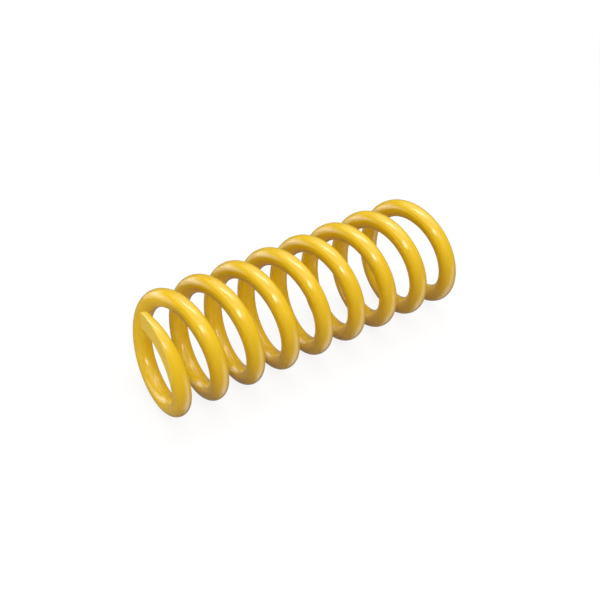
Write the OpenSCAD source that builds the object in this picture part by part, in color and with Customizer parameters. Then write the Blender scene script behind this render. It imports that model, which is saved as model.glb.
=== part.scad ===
// Compression spring of a shock absorber: round wire wound into an open right-hand coil
// of even pitch, with both ends ground flat and square to the coil's axis.
// It lies on its side along X, centred in X and Y, with its underside at z = 0.

/* [Wire] */
// Diameter of the round wire
wire_d = 7.6; // [5:0.1:10]
// Thickness left at each ground tip of the wire
tip_t = 3.8; // [2:0.1:4.8]

/* [Coil] */
// Inside diameter of the coil, which clears the damper body
inner_d = 36; // [28:0.5:60]
// Length of the unloaded spring between its two ground ends
free_length = 148; // [120:1:200]
// Turns of wire from tip to tip
turns = 8.5; // [6:0.25:9.5]
// Angle of the first tip round the axis, from straight up towards -Y
tip_angle = 5; // [-180:5:180]

/* [Hidden] */

// Wire sections in one turn of the coil, and corners in one section
turn_steps = 36;
wire_corners = 16;

wire_r = wire_d / 2;
coil_r = inner_d / 2 + wire_r;
outer_r = coil_r + wire_r;

// The wire starts below the grinding plane and ends above it, so that grinding leaves tip_t
sections = round(turns * turn_steps);
rise = free_length + wire_d - 2 * tip_t;
pitch = rise * turn_steps / sections;
lead_angle = atan(pitch / (2 * PI * coil_r));

// Angle round the axis of wire section i
function section_angle(i) = tip_angle + 360 * i / turn_steps;

// Height of the axis above what the coil lies on
axis_height = outer_r * max([for (i = [0 : turn_steps - 1]) -cos(section_angle(i))]);

// Centre of wire section i on the helix
function section_centre(i) =
    let (a = section_angle(i))
    [rise * (i / sections - 0.5), -coil_r * sin(a), coil_r * cos(a)];

// Direction away from the axis, and the direction square to it and to the wire
function outward(a) = [0, -sin(a), cos(a)];
function sideways(a) = [cos(lead_angle), sin(lead_angle) * cos(a), sin(lead_angle) * sin(a)];

// Corners of wire section i, a circle of wire_r square to the wire
function section_points(i) =
    let (a = section_angle(i))
    [for (k = [0 : wire_corners - 1])
        let (b = 360 * k / wire_corners)
        section_centre(i) + wire_r * (cos(b) * outward(a) + sin(b) * sideways(a))];

// Four-cornered faces between each section and the next, and a lid on both ends
function wire_faces() =
    let (n = wire_corners)
    concat(
        [for (i = [0 : sections - 1], k = [0 : n - 1])
            [i * n + k, i * n + (k + 1) % n, (i + 1) * n + (k + 1) % n, (i + 1) * n + k]],
        [[for (k = [n - 1 : -1 : 0]) k]],
        [[for (k = [0 : n - 1]) sections * n + k]]);

// The wire as wound, before its ends are ground
module wound_wire() {
    polyhedron(
        points = [for (i = [0 : sections], p = section_points(i)) p],
        faces = wire_faces(),
        convexity = 20);
}

// The room between the two grinding planes
module ground_length() {
    translate([-free_length / 2, -2 * outer_r, -2 * outer_r])
        cube([free_length, 4 * outer_r, 4 * outer_r]);
}

module coil_spring() {
    color("gold")
        translate([0, 0, axis_height])
            intersection() {
                wound_wire();
                ground_length();
            }
}

coil_spring();
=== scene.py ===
# %% [markdown]
# # The spring of a shock absorber
#
# The object is one length of round steel wire, wound into an open right-hand coil, ground flat
# across both ends and painted glossy yellow. It lies on its side on a pale floor, as in the photo.
# This lesson first loads the part's solids, which give the size and the place, and then lays a smooth
# painted wire over them.

import bpy
import numpy as np
from mathutils import Matrix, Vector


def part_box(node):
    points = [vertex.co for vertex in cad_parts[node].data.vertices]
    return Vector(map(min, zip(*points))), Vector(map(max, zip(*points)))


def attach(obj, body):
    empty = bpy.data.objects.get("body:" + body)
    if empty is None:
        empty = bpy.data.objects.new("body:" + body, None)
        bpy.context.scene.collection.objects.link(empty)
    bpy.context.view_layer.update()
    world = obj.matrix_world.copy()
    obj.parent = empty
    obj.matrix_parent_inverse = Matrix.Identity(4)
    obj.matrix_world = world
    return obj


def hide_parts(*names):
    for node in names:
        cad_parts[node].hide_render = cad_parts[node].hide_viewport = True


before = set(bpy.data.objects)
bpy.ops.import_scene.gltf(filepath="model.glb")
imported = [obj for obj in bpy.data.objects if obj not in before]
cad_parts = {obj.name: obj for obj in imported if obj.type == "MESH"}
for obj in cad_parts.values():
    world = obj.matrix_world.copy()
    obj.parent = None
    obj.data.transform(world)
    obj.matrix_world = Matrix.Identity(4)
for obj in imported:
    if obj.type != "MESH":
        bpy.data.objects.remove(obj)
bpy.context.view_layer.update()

MM = 0.001
low, high = (np.array(corner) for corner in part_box("coil_spring"))
print("solid coil, mm:", np.round((high - low) / MM, 2))

# %% [markdown]
# ## The coil's sizes
#
# The solids' box gives the free length, the outside diameter and the height of the axis. The wire's
# own sizes can't be read from a box, so they are named here as they are on the part. Each tip is
# ground down to half of the wire, so the helix rises by exactly the free length between the tips.

# %% Sizes of the coil
WIRE_D = 7.6 * MM
TIP_T = 3.8 * MM
TURNS = 8.5
TIP_ANGLE = np.radians(5)

wire_r = WIRE_D / 2
free_length = high[0] - low[0]
outer_r = (high[2] - low[2]) / 2
axis_height = (high[2] + low[2]) / 2
coil_r = outer_r - wire_r
rise = free_length + WIRE_D - 2 * TIP_T
lead_angle = np.arctan2(rise / TURNS, 2 * np.pi * coil_r)
print("pitch, mm:", round(rise / TURNS / MM, 2), " mean radius, mm:", round(coil_r / MM, 2))

# %% [markdown]
# ## The wire's path
#
# A spring could be made with a screw modifier or a bevelled curve, but neither lets the ends be
# ground. Here the path is a formula instead: the angle round the axis grows with the turn count
# t, and the place along the axis grows in step with it. Every array has one row for each station
# on the path, and no Python loop visits the stations one by one.

# %% The helix and its directions
ALONG_AXIS = np.array([1, 0, 0])


def wire_path(t):
    """Helix of right-hand lead: at t turns the angle is the tip's angle plus t full turns, the
    distance along X is in proportion to t, and Y and Z run round a circle of coil_r. Returns the
    centre, the direction away from the axis and the one along the wire."""
    angle = TIP_ANGLE + 2 * np.pi * t
    none = np.zeros_like(t)
    outward = np.stack([none, -np.sin(angle), np.cos(angle)], axis=1)
    round_axis = np.stack([none, -np.cos(angle), -np.sin(angle)], axis=1)
    along = np.sin(lead_angle) * ALONG_AXIS + np.cos(lead_angle) * round_axis
    on_axis = np.stack([rise * (t / TURNS - 0.5), none, none + axis_height], axis=1)
    return on_axis + coil_r * outward, outward, along


tip_centres = wire_path(np.array([0, TURNS]))[0]
print("centres of the two tips, mm:", np.round(tip_centres / MM, 1).tolist())

# %% [markdown]
# ## Stations along the wire
#
# The ground ends need a fine grid, so that the soft edge of the flat shows, and the plain turns
# between them don't. At each tip a few more rings shrink round a small radius, which gives the
# cut end its rounded, painted edge.

# %% Where the rings stand
RINGS_PER_TURN = 120
GROUND_TURNS = 0.25
GROUND_RINGS = 120
TIP_EDGE = 0.6 * MM
TIP_RINGS = 7

wire_per_turn = 2 * np.pi * coil_r / np.cos(lead_angle)
plain_turns = TURNS - 2 * GROUND_TURNS
ground_t = np.linspace(TIP_EDGE / wire_per_turn, GROUND_TURNS, GROUND_RINGS, endpoint=False)
plain_t = np.linspace(GROUND_TURNS, TURNS - GROUND_TURNS, int(plain_turns * RINGS_PER_TURN))
body_t = np.concatenate([ground_t, plain_t, TURNS - ground_t[::-1]])

bend = np.linspace(np.pi / 2, 0, TIP_RINGS, endpoint=False)
tip_shift = TIP_EDGE * np.sin(bend)
tip_size = 1 - TIP_EDGE / wire_r * (1 - np.cos(bend))

station_t = np.pad(body_t, TIP_RINGS, mode="edge")
station_shift = np.concatenate([-tip_shift, np.zeros_like(body_t), tip_shift[::-1]])
station_size = np.concatenate([tip_size, np.ones_like(body_t), tip_size[::-1]])
print("rings along the wire:", len(station_t))

# %% [markdown]
# ## The round wire, then the grinding
#
# First the wire is swept as a plain tube. Its rings stand in planes through the coil's axis, where a
# tilted round wire shows as an ellipse. Then both ends are ground: whatever lies beyond a plane
# square to the axis is pushed back along the axis, which keeps each ring flat and the tips clean.
# A hard cut would leave a knife edge, but paint gathers there and rounds it, so the cut is a smooth
# maximum with a small soft width.

# %% Sweep and grind
CORNERS = 56
EDGE_SOFT = 0.7 * MM


def swept_wire(t, shift, size):
    """Tube: the path's point at t, moved by shift along the wire, plus the wire's radius times size,
    turned through a full circle between the outward direction and X. X is longer by one over the
    cosine of the lead angle, as the section of a tilted round wire is."""
    turn = np.linspace(0, 2 * np.pi, CORNERS, endpoint=False)
    centre, outward, along = wire_path(t)
    sideways = ALONG_AXIS / np.cos(lead_angle)
    ring = np.cos(turn)[:, None] * outward[:, None, :] + np.sin(turn)[:, None] * sideways
    middle = centre + shift[:, None] * along
    return middle[:, None, :] + wire_r * size[:, None, None] * ring, turn


def smooth_max(a, b, soft):
    """The larger of a and b, plus a quarter of soft where they are equal, fading to nothing when
    they are soft apart: a maximum with a round inside corner."""
    overlap = np.clip(1 - np.abs(a - b) / soft, 0, None)
    return np.maximum(a, b) + soft / 4 * overlap**2


tube, around = swept_wire(station_t, station_shift, station_size)
near_plane = low[0]
far_plane = high[0]
ground_x = smooth_max(tube[..., 0], near_plane, EDGE_SOFT)
ground_x = -smooth_max(-ground_x, -far_plane, EDGE_SOFT)
surface = np.concatenate([ground_x[..., None], tube[..., 1:]], axis=-1)
ground_depth = np.abs(ground_x - tube[..., 0])
print("deepest grinding, mm:", round(ground_depth.max() / MM, 2))

# %% [markdown]
# ## Closing the tips
#
# On the real spring the wire is simply cut off, so each tip ends in a flat face. A single many-sided
# face would shade badly where it meets the rounded edge. Each tip gets one more ring instead, half as
# large in the same plane, and a fan of triangles from there to the middle.

# %% Lids and faces
def halved(ring):
    """The ring drawn half way towards its own middle."""
    return (ring + ring.mean(axis=0)) / 2


def tube_faces(ring_count, corners):
    """Faces of a closed tube: ring i and i + 1, corner k and k + 1 wrapped round, then a fan from the
    first ring and one from the last to the two middle points that come after all the rings."""
    i, k = np.meshgrid(np.arange(ring_count - 1), np.arange(corners), indexing="ij")
    n = (k + 1) % corners
    here = i * corners
    beyond = here + corners
    quads = np.stack([here + k, beyond + k, beyond + n, here + n], axis=-1)
    last_ring = (ring_count - 1) * corners
    middle = np.full(corners, ring_count * corners)
    first_fan = np.stack([k[0], n[0], middle], axis=-1)
    last_fan = np.stack([last_ring + n[0], last_ring + k[0], middle + 1], axis=-1)
    return quads.reshape(-1, 4).tolist() + first_fan.tolist() + last_fan.tolist()


rings = np.concatenate([halved(surface[0])[None], surface, halved(surface[-1])[None]])
middles = np.stack([surface[0].mean(axis=0), surface[-1].mean(axis=0)])
points = np.concatenate([rings.reshape(-1, 3), middles])
faces = tube_faces(*rings.shape[:2])
print("points:", len(points), " faces:", len(faces))

# %% [markdown]
# ## What the paint reads
#
# Two values go with each point for the paint to read: the place on the wire as if it were pulled
# straight, with its length first, and how deep the grinding went. The added rings and the two middle
# points take the length of the ring beside them, and no depth.

# %% Places and depths for the points
wire_length = np.pad(station_t * wire_per_turn + station_shift, 1, mode="edge")
straight = np.stack(np.broadcast_arrays(
    wire_length[:, None], wire_r * np.cos(around), wire_r * np.sin(around)), axis=-1)
middle_places = [[wire_length[0], 0, 0], [wire_length[-1], 0, 0]]
straight = np.concatenate([straight.reshape(-1, 3), middle_places])

depth_mm = np.pad(ground_depth / MM, ((1, 1), (0, 0)))
depth_mm = np.concatenate([depth_mm.ravel(), [0, 0]])
print("wire pulled straight, mm:", round(np.ptp(wire_length) / MM))

# %% [markdown]
# ## The painted wire
#
# The points and faces go into one mesh, which stands for the solid coil and rides on its body. The
# two values go in as attributes of its points, because a pattern that follows a bent wire can't be
# read from a place in space.

# %% Build the painted wire
mesh = bpy.data.meshes.new("painted_wire")
mesh.from_pydata(points, [], faces)
mesh.polygons.foreach_set("use_smooth", np.ones(len(mesh.polygons), dtype=bool))
mesh.attributes.new("straight", "FLOAT_VECTOR", "POINT").data.foreach_set("vector", straight.ravel())
mesh.attributes.new("ground", "FLOAT", "POINT").data.foreach_set("value", depth_mm)
mesh.update()

coil = bpy.data.objects.new("painted_coil", mesh)
bpy.context.scene.collection.objects.link(coil)
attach(coil, "root")
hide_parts("coil_spring")
mesh.calc_loop_triangles()
print("painted coil, triangles:", len(mesh.loop_triangles))

# %% [markdown]
# ## Shader maths as Python
#
# A paint is a small sum: a base colour here, a little more roughness there. Written as node calls
# it would hide the idea, so one class wraps a socket and turns +, - and * into Math nodes. Every
# other node comes from its `node` method, which takes the type, the settings and the sockets.

# %% A socket that does arithmetic
class Value:
    """One output socket of a node tree. Sums and products of values add Math nodes."""

    def __init__(self, tree, socket=None):
        self.tree = tree
        self.socket = socket

    def node(self, kind, settings=None, inputs=None, output=0):
        """Adds a node: its settings first, such as an operation, and then its sockets, each linked to
        a value or set to a plain number, colour or vector. Gives one of its outputs."""
        made = self.tree.nodes.new(kind)
        for name, setting in (settings or {}).items():
            setattr(made, name, setting)
        for key, given in (inputs or {}).items():
            if isinstance(given, Value):
                self.tree.links.new(given.socket, made.inputs[key])
            else:
                made.inputs[key].default_value = given
        return Value(self.tree, made.outputs[output])

    def feed(self, socket):
        """Links this value to a socket of a shader."""
        self.tree.links.new(self.socket, socket)

    def maths(self, operation, first, second):
        """The Math node that joins two values, or a value and a number."""
        return self.node("ShaderNodeMath", {"operation": operation}, {0: first, 1: second})

    def __add__(self, other):
        return self.maths("ADD", self, other)

    def __sub__(self, other):
        return self.maths("SUBTRACT", self, other)

    def __rsub__(self, other):
        return self.maths("SUBTRACT", other, self)

    def __mul__(self, other):
        return self.maths("MULTIPLY", self, other)

    __radd__ = __add__
    __rmul__ = __mul__


print("operators on a value: + - *")

# %% [markdown]
# ## Two helpers for masks and colours
#
# A mask is a number from 0 to 1 that says where something is. One helper makes a mask from a value,
# and the other uses it to go from one colour to another. The Mix node keeps sockets for numbers,
# vectors and colours side by side under the same names, so the colour ones are found by their place.

# %% Masks and mixed colours
MIX_FACTOR = 0
MIX_FIRST = 6
MIX_SECOND = 7
MIX_RESULT = 2


def ramp(value, low_end, high_end):
    """A smooth step from 0 at low_end to 1 at high_end."""
    return value.node("ShaderNodeMapRange", {"interpolation_type": "SMOOTHSTEP"},
                      {"Value": value, "From Min": low_end, "From Max": high_end})


def mixed(mask, first, second):
    """The first colour where the mask is 0, the second where it is 1, and a straight mix between."""
    return mask.node("ShaderNodeMix", {"data_type": "RGBA"},
                     {MIX_FACTOR: mask, MIX_FIRST: first, MIX_SECOND: second}, output=MIX_RESULT)


print("helpers:", ramp.__name__, mixed.__name__)

# %% [markdown]
# ## Yellow paint: where things are
#
# The spring is sprayed with a thick gloss enamel. The patterns in it follow the wire, so they read
# the place on the straightened wire, and the ground faces are found from the depth of the grinding.
# The crease round a ground face is where that depth has only just begun: four times the mask times
# what it lacks of 1 is highest half way up the ramp, and nothing at both ends.

# %% Places on the painted wire
GROUND_FROM = 0.1
GROUND_FULL = 0.3

paint = bpy.data.materials.new("yellow_paint")
paint.use_nodes = True
mesh.materials.append(paint)
shader = paint.node_tree.nodes["Principled BSDF"]
nodes = Value(paint.node_tree)

on_wire = nodes.node("ShaderNodeAttribute", {"attribute_name": "straight"}, output="Vector")
in_place = nodes.node("ShaderNodeTexCoord", output="Object")
depth = nodes.node("ShaderNodeAttribute", {"attribute_name": "ground"}, output="Fac")
flat = ramp(depth, GROUND_FROM, GROUND_FULL)
crease = 4 * flat * (1 - flat)
print("the ground faces begin where the grinding is deeper than, mm:", GROUND_FROM)

# %% [markdown]
# ## Yellow paint: the film
#
# A sprayed film is never even. Over a few centimetres it is a little thicker or thinner, which
# shifts the yellow, and at a millimetre or two it dries into a gentle orange peel. Under it the
# wire keeps faint lines from the die that drew it, stretched along its length, and the ground faces
# keep the scratches of the wheel. All of them are noises, and a noise's scale is about the number of
# its lumps in a metre.

# %% Film, orange peel, drawing lines, grinding scratches and chips
FILM_NOISE = {"Scale": 55, "Detail": 3, "Roughness": 0.55}
PEEL_NOISE = {"Scale": 620, "Detail": 2, "Roughness": 0.45}
LINE_NOISE = {"Scale": 1000, "Detail": 2, "Roughness": 0.5}
SCRATCH_NOISE = {"Scale": 2600, "Detail": 2, "Roughness": 0.5}
CHIP_NOISE = {"Scale": 1100, "Detail": 4, "Roughness": 0.6}
CHIP_FROM = 0.48
CHIP_FULL = 0.6
ALONG_WIRE = (0.03, 1, 1)
ACROSS_FACE = (1, 0.06, 1)


def grain(vector, noise):
    """Noise from 0 to 1 at a place, with the scale, detail and roughness given."""
    return vector.node("ShaderNodeTexNoise", None, {"Vector": vector, **noise})


def stretch(vector, factors):
    """The place multiplied along each direction, which lengthens a pattern where a factor is small."""
    return vector.node("ShaderNodeVectorMath", {"operation": "MULTIPLY"}, {0: vector, 1: factors})


film = grain(on_wire, FILM_NOISE)
peel = grain(on_wire, PEEL_NOISE)
drawn = grain(stretch(on_wire, ALONG_WIRE), LINE_NOISE)
scratched = grain(stretch(in_place, ACROSS_FACE), SCRATCH_NOISE)
chipped = ramp(grain(on_wire, CHIP_NOISE), CHIP_FROM, CHIP_FULL)
print("orange peel, mm from lump to lump:", round(1 / PEEL_NOISE["Scale"] / MM, 1))

# %% [markdown]
# ## Yellow paint: colour
#
# Thick film is a deep yellow and thin film a paler one. On the ground faces the film is thin, most of
# all on the scratches, and the paler colour there is also a painted sheen: it lightens those faces as
# more light and a pale reflection would. At the crease the film has drawn back from the edge and is
# chipped here and there.

# %% Colour of the paint
DEEP = (0.71, 0.43, 0.002, 1)
PALE = (0.77, 0.50, 0.004, 1)
# The paler yellow below is thin film, and on the ground faces it is also a painted sheen that lightens
# them as more light and a pale reflection would.
THIN_AND_SHEEN = (0.90, 0.66, 0.10, 1)
THIN_AND_SHEEN_ON_FACE = 0.22
THIN_ON_SCRATCH = 0.3
THIN_ON_CREASE = 0.1
THIN_ON_CHIP = 0.45

# On the ground faces this mix is partly thin film and partly painted sheen.
thin_and_sheen_on_face = flat * (THIN_AND_SHEEN_ON_FACE + THIN_ON_SCRATCH * scratched)
thin_edge = crease * (THIN_ON_CREASE + THIN_ON_CHIP * chipped)
colour = mixed(thin_and_sheen_on_face + thin_edge, mixed(film, DEEP, PALE), THIN_AND_SHEEN)
colour.feed(shader.inputs["Base Color"])
print("yellow, from deep to pale:", DEEP[:3], PALE[:3])

# %% [markdown]
# ## Yellow paint: gloss and relief
#
# The ground faces are duller than the rest, because the film lies on scratched metal. The highlights
# in the photo are stronger than the usual specular level gives under lamps of a plain strength, so
# the level here is twice the usual. The relief is some hundredths of a millimetre, enough to break up
# the edges of the highlights. Lines and scratches are given as so many times the orange peel.

# %% Gloss and relief of the paint
GLOSS = 0.12
FILM_DULL = 0.08
GROUND_DULL = 0.18
PAINT_IOR = 1.5
SPECULAR_LEVEL = 1.0
RELIEF = 0.012 * MM
LINE_HEIGHT = 6
SCRATCH_HEIGHT = 3

dullness = GLOSS + FILM_DULL * film + GROUND_DULL * flat
dullness.feed(shader.inputs["Roughness"])
height = peel + LINE_HEIGHT * drawn + SCRATCH_HEIGHT * flat * scratched
relief = nodes.node("ShaderNodeBump", None, {"Strength": 1.0, "Distance": RELIEF, "Height": height})
relief.feed(shader.inputs["Normal"])
shader.inputs["IOR"].default_value = PAINT_IOR
shader.inputs["Specular IOR Level"].default_value = SPECULAR_LEVEL
print("roughness of the wire:", GLOSS, "to", GLOSS + FILM_DULL)
print("more on the ground faces:", GROUND_DULL)

# %% [markdown]
# ## Camera
#
# The photo looks down on the coil from its near end. The turn, the rise and the lens come from
# matching the helix to the outline in the photo.

# %% Place the camera
CAMERA_TURN = np.radians(37.25)
CAMERA_RISE = np.radians(33.21)
CAMERA_DISTANCE = 485.5 * MM
AIM = np.array([3.94, 0.13, 24.06]) * MM
LENS_MM = 68.07
SENSOR_MM = 36
NEAREST = 10 * MM

back = np.array([
    -np.sin(CAMERA_TURN) * np.cos(CAMERA_RISE),
    -np.cos(CAMERA_TURN) * np.cos(CAMERA_RISE),
    np.sin(CAMERA_RISE)])
right = np.array([np.cos(CAMERA_TURN), -np.sin(CAMERA_TURN), 0])
up = np.cross(back, right)


def placed(across, upward, backward, where):
    """The matrix whose first three columns are an object's own X, Y and Z, and the fourth its place."""
    matrix = np.eye(4)
    matrix[:3] = np.stack([across, upward, backward, where], axis=1)
    return Matrix(matrix.tolist())


lens = bpy.data.cameras.new("camera")
lens.sensor_width = SENSOR_MM
lens.lens = LENS_MM
lens.clip_start = NEAREST
camera = bpy.data.objects.new("camera", lens)
camera.matrix_world = placed(right, up, back, AIM + CAMERA_DISTANCE * back)
bpy.context.scene.collection.objects.link(camera)
bpy.context.scene.camera = camera
print("camera at, mm:", np.round((AIM + CAMERA_DISTANCE * back) / MM, 1))

# %% [markdown]
# ## Floor
#
# A studio floor is a white sheet, and a big plain square is all that it takes. The gloss of the paint
# in the photo shows no white floor, so the floor is left out of the gloss here as well.

# %% Floor sheet
FLOOR_SIZE = 40.0

floor_corners = np.array([[-1, -1, 0], [1, -1, 0], [1, 1, 0], [-1, 1, 0]]) * FLOOR_SIZE / 2
floor_mesh = bpy.data.meshes.new("floor")
floor_mesh.from_pydata(floor_corners.tolist(), [], [[0, 1, 2, 3]])
floor = bpy.data.objects.new("floor", floor_mesh)
floor.visible_glossy = False
bpy.context.scene.collection.objects.link(floor)
print("floor, metres across:", FLOOR_SIZE)

# %% [markdown]
# ## White floor with a soft shadow
#
# The sheet has to look pure white, with the soft shadow of the coil on it. More light would bleach the
# paint, so the floor glows instead, and only for the rays that look at it. Round the coil the glow
# leaves some of the real light in the picture, which keeps the shadow, and further out it takes over,
# so that the sheet runs into the backdrop without an edge. What the floor throws back on the coil is
# dimmer and warmer than it looks, because the undersides in the photo are deep and warm.

# %% Floor white
WHITE = (1, 1, 1, 1)
SHEET = (0.9, 0.9, 0.9, 1)
BOUNCE = (0.31, 0.23, 0.16, 1)
GLOW = 0.85
SHADOW_REACH = 0.12
CLEAR_REACH = 0.45

white = bpy.data.materials.new("floor_white")
white.use_nodes = True
floor_mesh.materials.append(white)
sheet = white.node_tree.nodes["Principled BSDF"]
sheet.inputs["Roughness"].default_value = 1.0
sheet.inputs["Specular IOR Level"].default_value = 0.0
nodes = Value(white.node_tree)


def looked_at(start):
    """Is Camera Ray plus Is Transmission Ray: 1 for a ray that looks straight at a thing or through
    glass, and 0 for light on its way. The start is any value of the same node tree."""
    straight_look = start.node("ShaderNodeLightPath", output="Is Camera Ray")
    return straight_look + start.node("ShaderNodeLightPath", output="Is Transmission Ray")


seen = looked_at(nodes)
mixed(seen, BOUNCE, SHEET).feed(sheet.inputs["Base Color"])
place = nodes.node("ShaderNodeTexCoord", output="Object")
away = nodes.node("ShaderNodeVectorMath", {"operation": "LENGTH"}, {0: place}, output="Value")
clear = GLOW + (1 - GLOW) * ramp(away, SHADOW_REACH, CLEAR_REACH)
glow = nodes.node("ShaderNodeEmission", None, {"Color": WHITE, "Strength": 1.0})
lit = Value(white.node_tree, sheet.outputs["BSDF"])
both = nodes.node("ShaderNodeMixShader", None, {0: seen * clear, 1: lit, 2: glow})
both.feed(white.node_tree.nodes["Material Output"].inputs["Surface"])
print("share of glow near the coil:", GLOW, " from", CLEAR_REACH, "metres out: 1")

# %% [markdown]
# ## World
#
# Behind the lamps a studio is dim. The backdrop is white only for the rays that look at it, straight
# or through glass. The gloss of the paint finds a grey room, about as dark as in the photo.

# %% Dim room, white backdrop
DIM = 0.08
MIRRORED = 0.22

world = bpy.data.worlds.new("studio")
world.use_nodes = True
bpy.context.scene.world = world
backdrop = world.node_tree.nodes["Background"]
backdrop.inputs["Color"].default_value = WHITE
nodes = Value(world.node_tree)
mirrored = nodes.node("ShaderNodeLightPath", output="Is Glossy Ray")
strength = DIM + (1 - DIM) * looked_at(nodes) + (MIRRORED - DIM) * mirrored
strength.feed(backdrop.inputs["Strength"])
print("room:", DIM, " in the gloss:", MIRRORED, " looked at: 1")

# %% [markdown]
# ## A soft lamp
#
# Every lamp here is a rectangle that faces the coil, as a softbox does. What a highlight shows is how
# bright the lamp's face is, its radiance, so that is what is given, and the watts follow from it.

# %% A rectangle that faces the coil
coil_middle = np.array([0, 0, axis_height])


def soft_lamp(name, toward, distance_mm, long_way, size_mm, radiance):
    """A rectangular lamp in a direction from the middle of the coil, turned to face it, with its
    long side as near as can be to long_way. Its power is radiance times pi times its area."""
    away = np.array(toward) / np.linalg.norm(toward)
    side = np.array(long_way) - np.dot(long_way, away) * away
    side = side / np.linalg.norm(side)
    lamp = bpy.data.lights.new(name, "AREA")
    lamp.shape = "RECTANGLE"
    lamp.size = size_mm[0] * MM
    lamp.size_y = size_mm[1] * MM
    lamp.energy = radiance * np.pi * lamp.size * lamp.size_y
    thing = bpy.data.objects.new(name, lamp)
    thing.matrix_world = placed(side, np.cross(away, side), away, coil_middle + away * distance_mm * MM)
    bpy.context.scene.collection.objects.link(thing)
    print(name, "watts:", round(lamp.energy, 2))
    return thing


print("lamps face, mm:", np.round(coil_middle / MM, 1))

# %% [markdown]
# ## Lamps overhead and in front
#
# The highlights in the photo tell what stood round the coil: a broad soft light overhead that is
# brightest a little behind the top, a dimmer one behind on the right, and a narrow one in front, above
# the camera. Where a highlight fades at its edges, a smaller lamp stands in front of a larger one.

# %% Place the upper lamps
ACROSS_VIEW = (0.80, -0.60, 0)

soft_lamp("big_softbox", toward=(0, -0.05, 1), distance_mm=650,
          long_way=ACROSS_VIEW, size_mm=(1250, 1300), radiance=0.75)
soft_lamp("overhead_middle", toward=(0.08, 0.10, 0.99), distance_mm=600,
          long_way=ACROSS_VIEW, size_mm=(420, 210), radiance=3.6)
soft_lamp("back_softbox", toward=(0.59, 0.25, 0.77), distance_mm=600,
          long_way=(0.39, -0.92, 0), size_mm=(760, 520), radiance=0.54)
soft_lamp("front_strip", toward=(-0.43, -0.60, 0.68), distance_mm=600,
          long_way=(0.80, -0.12, 0.44), size_mm=(320, 120), radiance=5.3)

# %% [markdown]
# ## Card and panel
#
# The photo's gloss also shows a card at the back on the left, and a pale panel low on the right, below
# the level of the floor. The floor stops the panel's other light, so it shows in the gloss alone.

# %% Place the card and the panel
PANEL_WAY = (0.44, -0.63, 0.64)

soft_lamp("back_card", toward=(-0.52, 0.84, 0.14), distance_mm=700,
          long_way=(0.84, 0.52, 0), size_mm=(760, 480), radiance=0.9)
soft_lamp("back_card_middle", toward=(-0.48, 0.86, 0.16), distance_mm=650,
          long_way=(0.86, 0.48, 0), size_mm=(420, 170), radiance=1.5)
soft_lamp("low_panel", toward=(0.43, -0.48, -0.77), distance_mm=500,
          long_way=PANEL_WAY, size_mm=(880, 520), radiance=0.4)
soft_lamp("low_panel_middle", toward=(0.45, -0.46, -0.77), distance_mm=500,
          long_way=PANEL_WAY, size_mm=(600, 260), radiance=0.7)

# %% [markdown]
# ## Fills
#
# A fill lifts the shading of one side without a highlight of its own, so all of them are left out of
# the gloss. One stands in front, one behind, and one beyond each end, low along the axis, where it
# reaches the ground face and the inside of the turns.

# %% Place the fills
ALONG_Y = (0, 1, 0)

fills = [
    soft_lamp("front_fill", toward=(0.06, -0.84, 0.54), distance_mm=700,
              long_way=ACROSS_VIEW, size_mm=(600, 600), radiance=2.5),
    soft_lamp("near_fill", toward=(-0.99, -0.03, 0.10), distance_mm=700,
              long_way=ALONG_Y, size_mm=(600, 180), radiance=6.2),
    soft_lamp("far_fill", toward=(0.99, 0.03, 0.10), distance_mm=700,
              long_way=ALONG_Y, size_mm=(600, 180), radiance=2.8),
    soft_lamp("back_fill", toward=(0.40, 0.88, 0.26), distance_mm=700,
              long_way=ACROSS_VIEW, size_mm=(600, 400), radiance=1.1),
]
for fill in fills:
    fill.visible_glossy = False
print("fills left out of the gloss:", len(fills))

# %% [markdown]
# ## Finish
#
# The picture is shown as it was rendered, with no film look over it.

# %% Finish
bpy.context.scene.view_settings.view_transform = "Standard"
